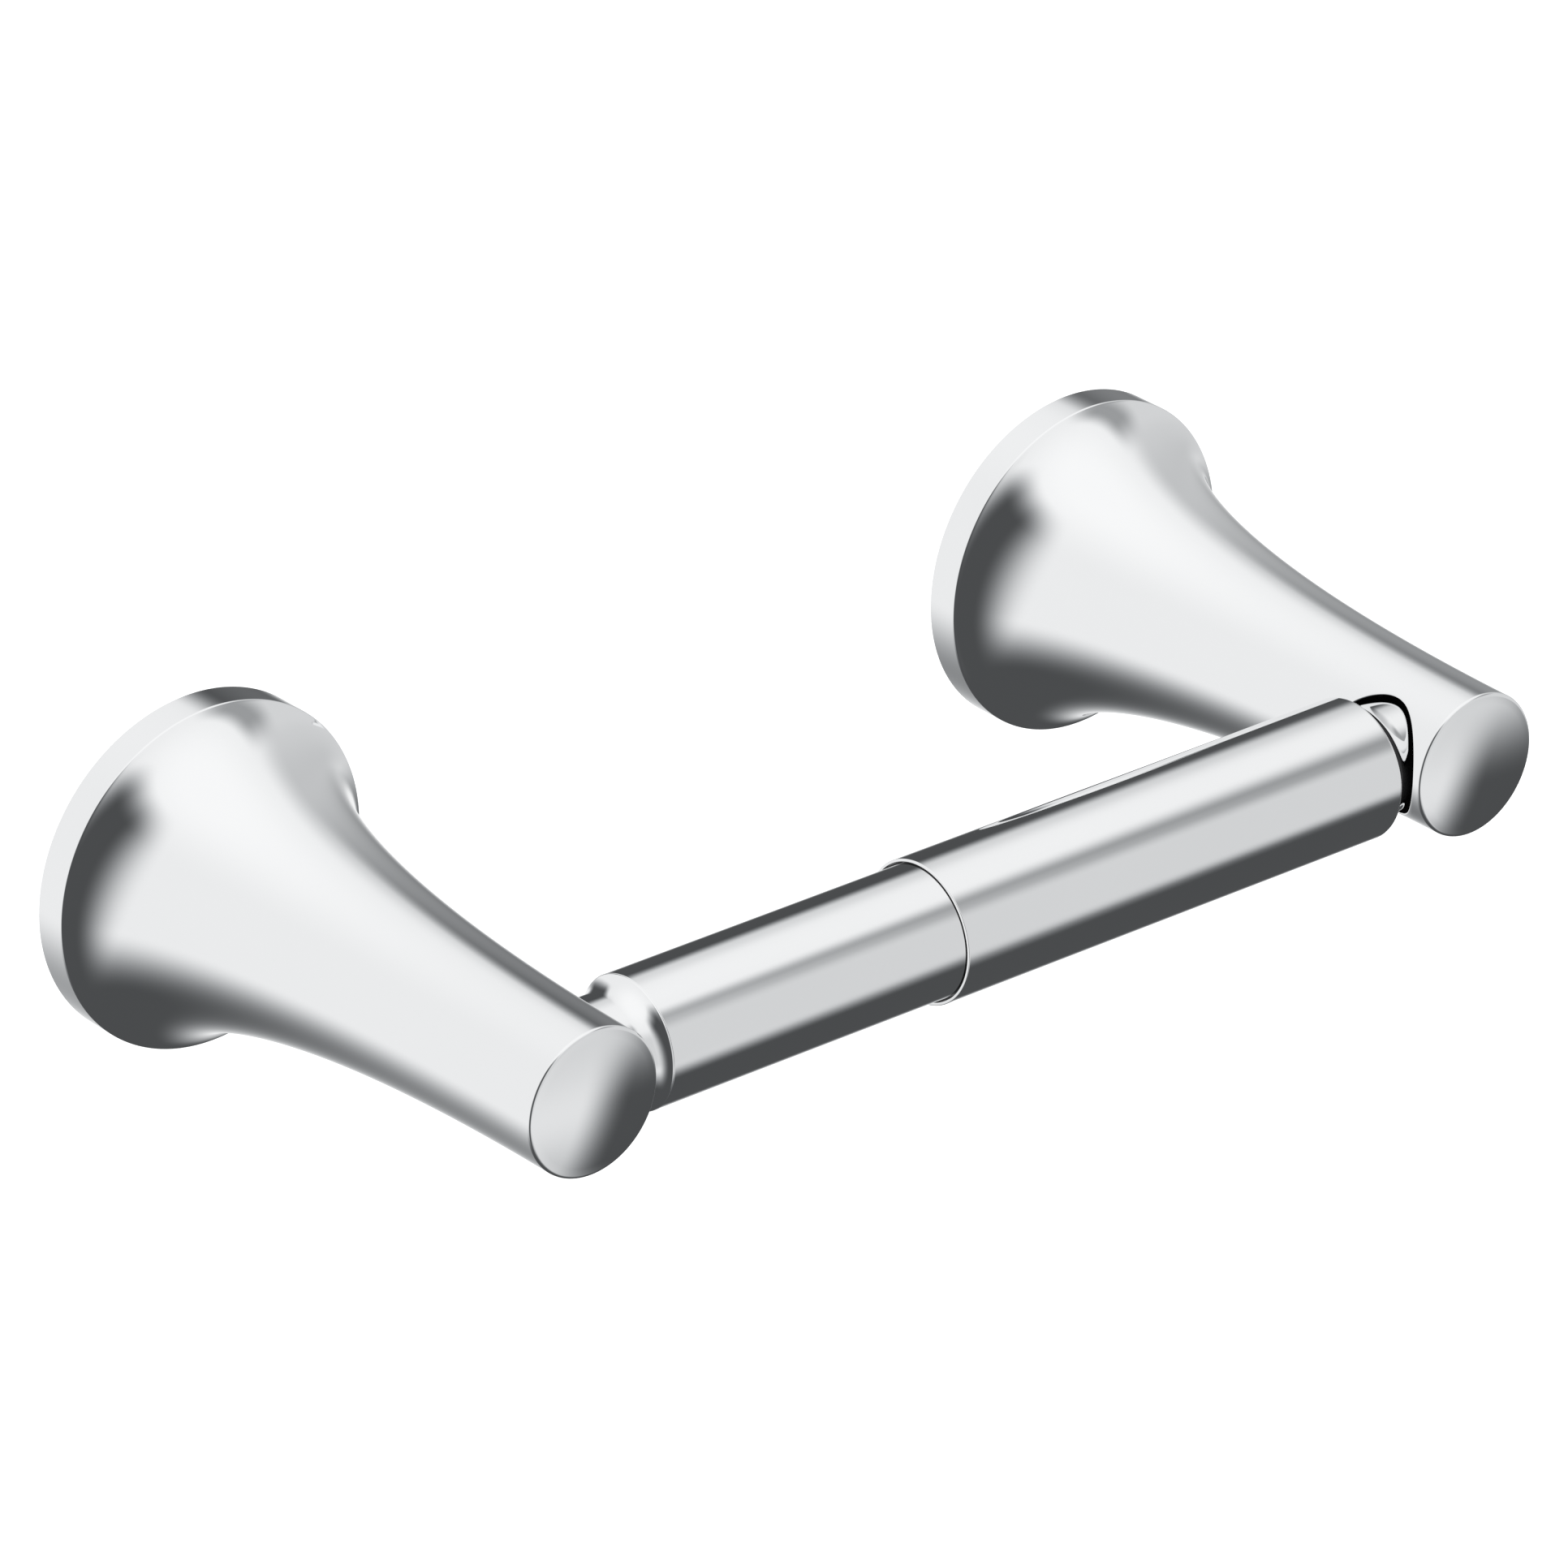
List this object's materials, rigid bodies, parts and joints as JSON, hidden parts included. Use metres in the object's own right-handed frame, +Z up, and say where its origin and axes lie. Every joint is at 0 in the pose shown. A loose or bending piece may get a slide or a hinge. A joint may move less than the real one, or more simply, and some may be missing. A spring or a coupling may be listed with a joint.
{
  "type": "toilet paper holder",
  "caption": "Wall-mounted toilet paper holder: two flared round posts carrying a spring-loaded telescoping roller.",
  "frame": {"origin": "on the wall plane, midway between the two posts, at the height of the posts' axes", "axes": "+X along the roller, from the smaller tube to the larger tube; +Y into the wall, the posts stand out along -Y; +Z up"},
  "size_m": [0.2098, 0.0867, 0.0508],
  "materials": {
    "polished_chrome": "mirror-polished chrome plate",
    "plug_chrome": "mirror-polished chrome plate",
    "bracket_steel": "stamped zinc-plated steel",
    "screw_steel": "stainless steel",
    "spring_steel": "drawn spring wire",
    "white_nylon": "moulded nylon"
  },
  "bodies": {
    "wall_frame": {"left_post": "polished_chrome", "right_post": "polished_chrome", "left_bracket": "bracket_steel", "right_bracket": "bracket_steel", "left_set_screw": "screw_steel", "right_set_screw": "screw_steel"},
    "outer_roller": {"outer_tube": "polished_chrome", "right_end_plug": "plug_chrome", "spring": "spring_steel"},
    "inner_roller": {"inner_tube": "polished_chrome", "left_end_plug": "plug_chrome", "slide_plug": "white_nylon"}
  },
  "joints": [
    {"name": "roller_spin", "type": "hinge", "parent": "wall_frame", "child": "outer_roller", "pos_m": [0, -0.076, 0], "axis": [1, 0, 0], "continuous": true},
    {"name": "roller_compress", "type": "slide", "parent": "outer_roller", "child": "inner_roller", "axis": [1, 0, 0], "range_m": [0, 0.011], "stiffness_N_per_m": 1000, "springref_m": -0.012, "deforming": ["spring"]}
  ]
}
